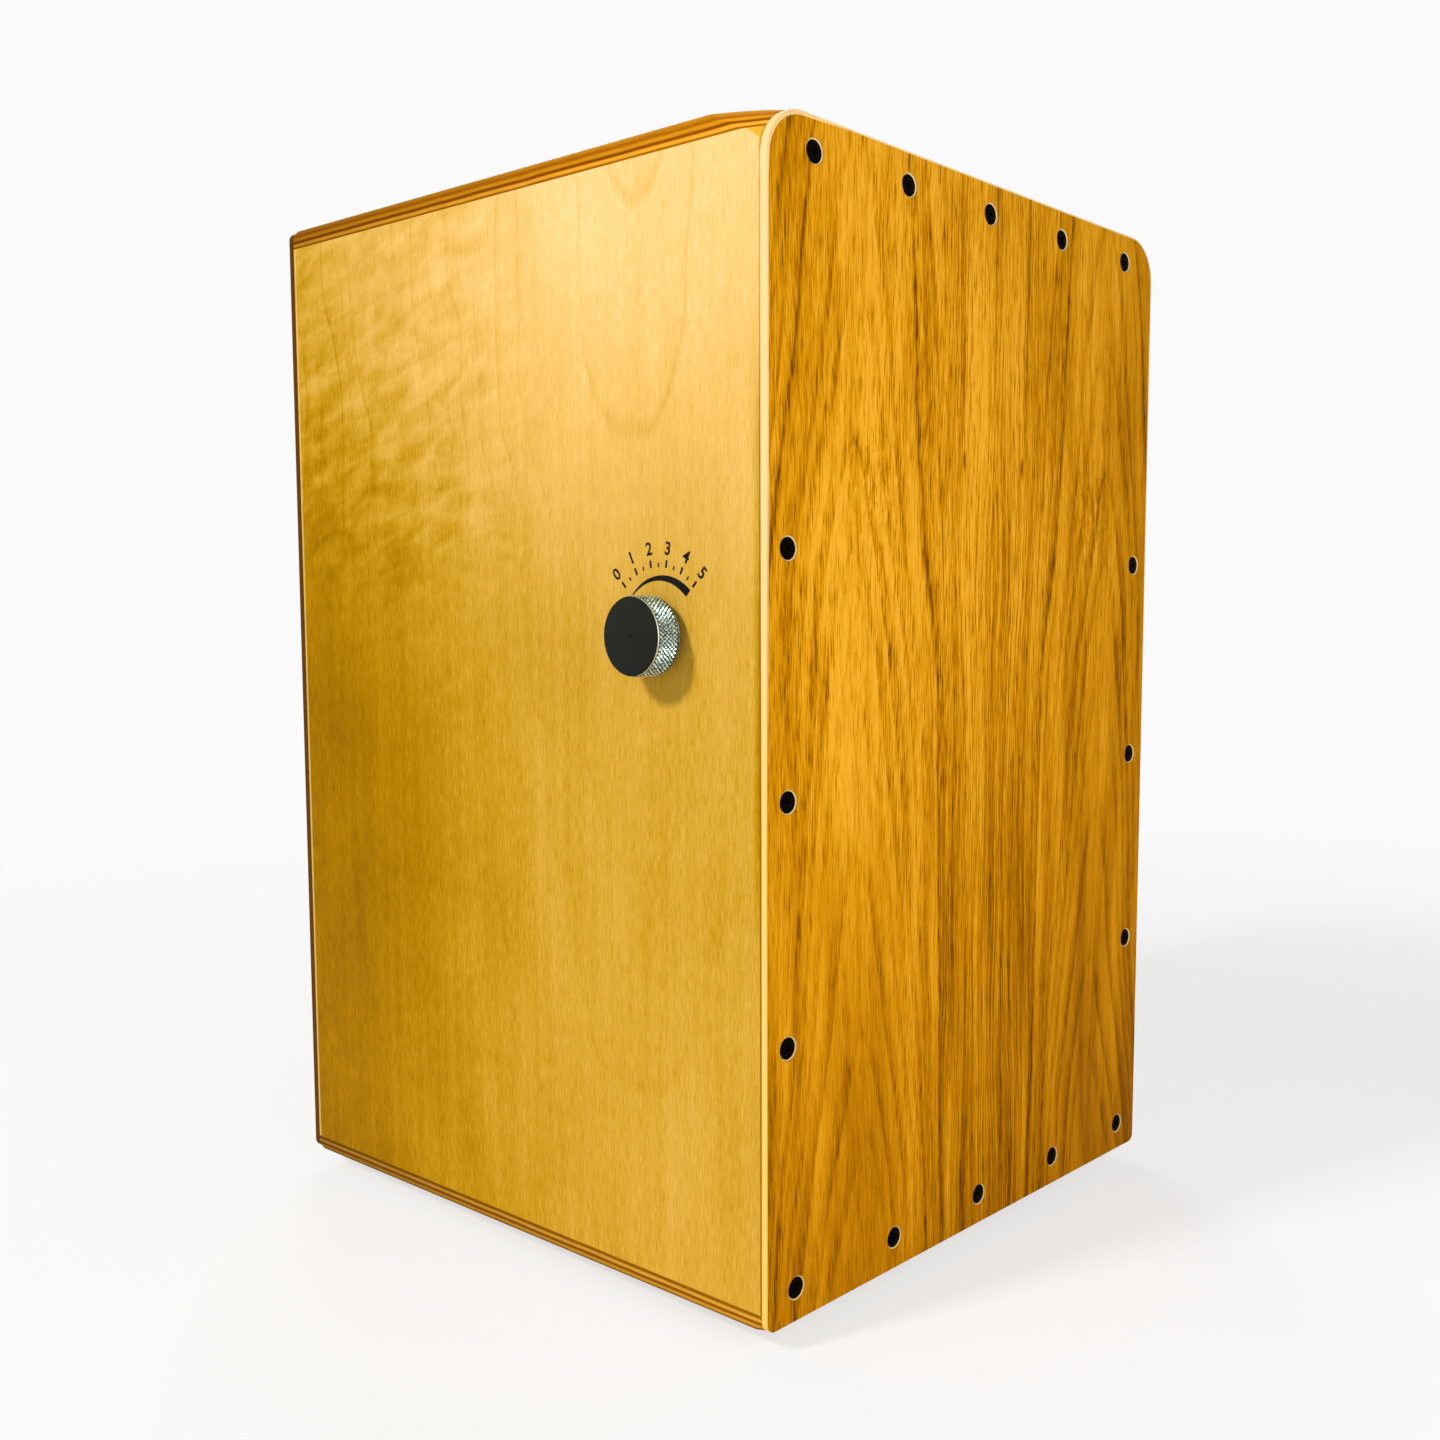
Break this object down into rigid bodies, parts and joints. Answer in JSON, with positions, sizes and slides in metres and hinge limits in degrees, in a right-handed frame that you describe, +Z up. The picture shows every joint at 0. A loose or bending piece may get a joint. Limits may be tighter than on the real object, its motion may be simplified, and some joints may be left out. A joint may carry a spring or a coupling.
{
  "type": "cajon",
  "caption": "Wooden box drum with a thin screwed front plate, a flat seat on top, a sound hole in the back, rubber feet, and a side knob that swings snares inside against the plate.",
  "frame": {"origin": "on the floor, under the middle of the box, the knob left out", "axes": "+Z up, -Y out of the front plate, -X out of the side that carries the knob"},
  "size_m": [0.3158, 0.34, 0.5],
  "materials": {
    "tapa_veneer": "satin varnish over dark straight grain",
    "panel_veneer": "satin varnish over pale figured grain",
    "bottom_ply": "varnished plywood",
    "back_board": "stained and varnished",
    "pine": "planed, unfinished",
    "black_steel": "black phosphate",
    "bright_nickel": "knurled and nickel plated",
    "black_cap": "fine matt",
    "zinc_steel": "zinc plated",
    "brass": "turned",
    "snare_steel": "bright wire",
    "rubber": "moulded",
    "felt": "pressed felt"
  },
  "bodies": {
    "cabinet": {"top_panel": "panel_veneer", "bottom_panel": "bottom_ply", "left_side_panel": "panel_veneer", "right_side_panel": "panel_veneer", "back_panel": "back_board", "tapa": "tapa_veneer", "front_top_batten": "pine", "front_bottom_batten": "pine", "front_left_batten": "pine", "front_right_batten": "pine", "rear_top_batten": "pine", "rear_bottom_batten": "pine", "rear_left_batten": "pine", "rear_right_batten": "pine", "tapa_screws": "black_steel", "front_left_foot": "rubber", "front_right_foot": "rubber", "rear_left_foot": "rubber", "rear_right_foot": "rubber", "foot_washers": "zinc_steel", "foot_screws": "zinc_steel", "foot_nuts": "zinc_steel", "panel_bush": "brass", "bush_washer": "zinc_steel", "bush_nut": "brass", "bearing_block": "pine", "block_screws": "zinc_steel"},
    "snare_shaft": {"felt_washer": "felt", "knob_rim": "bright_nickel", "knob_cap": "black_cap", "knob_grub_screw": "black_steel", "knob_spindle": "zinc_steel", "snare_dowel": "pine", "end_pin": "zinc_steel", "cross_pins": "zinc_steel", "left_snare": "snare_steel", "right_snare": "snare_steel", "left_clamp": "zinc_steel", "right_clamp": "zinc_steel", "clamp_screws": "zinc_steel"}
  },
  "joints": [
    {"name": "snare_knob", "type": "hinge", "parent": "cabinet", "child": "snare_shaft", "pos_m": [-0.154, -0.108, 0.295], "axis": [-1, 0, 0], "range_deg": [0, 90]}
  ]
}
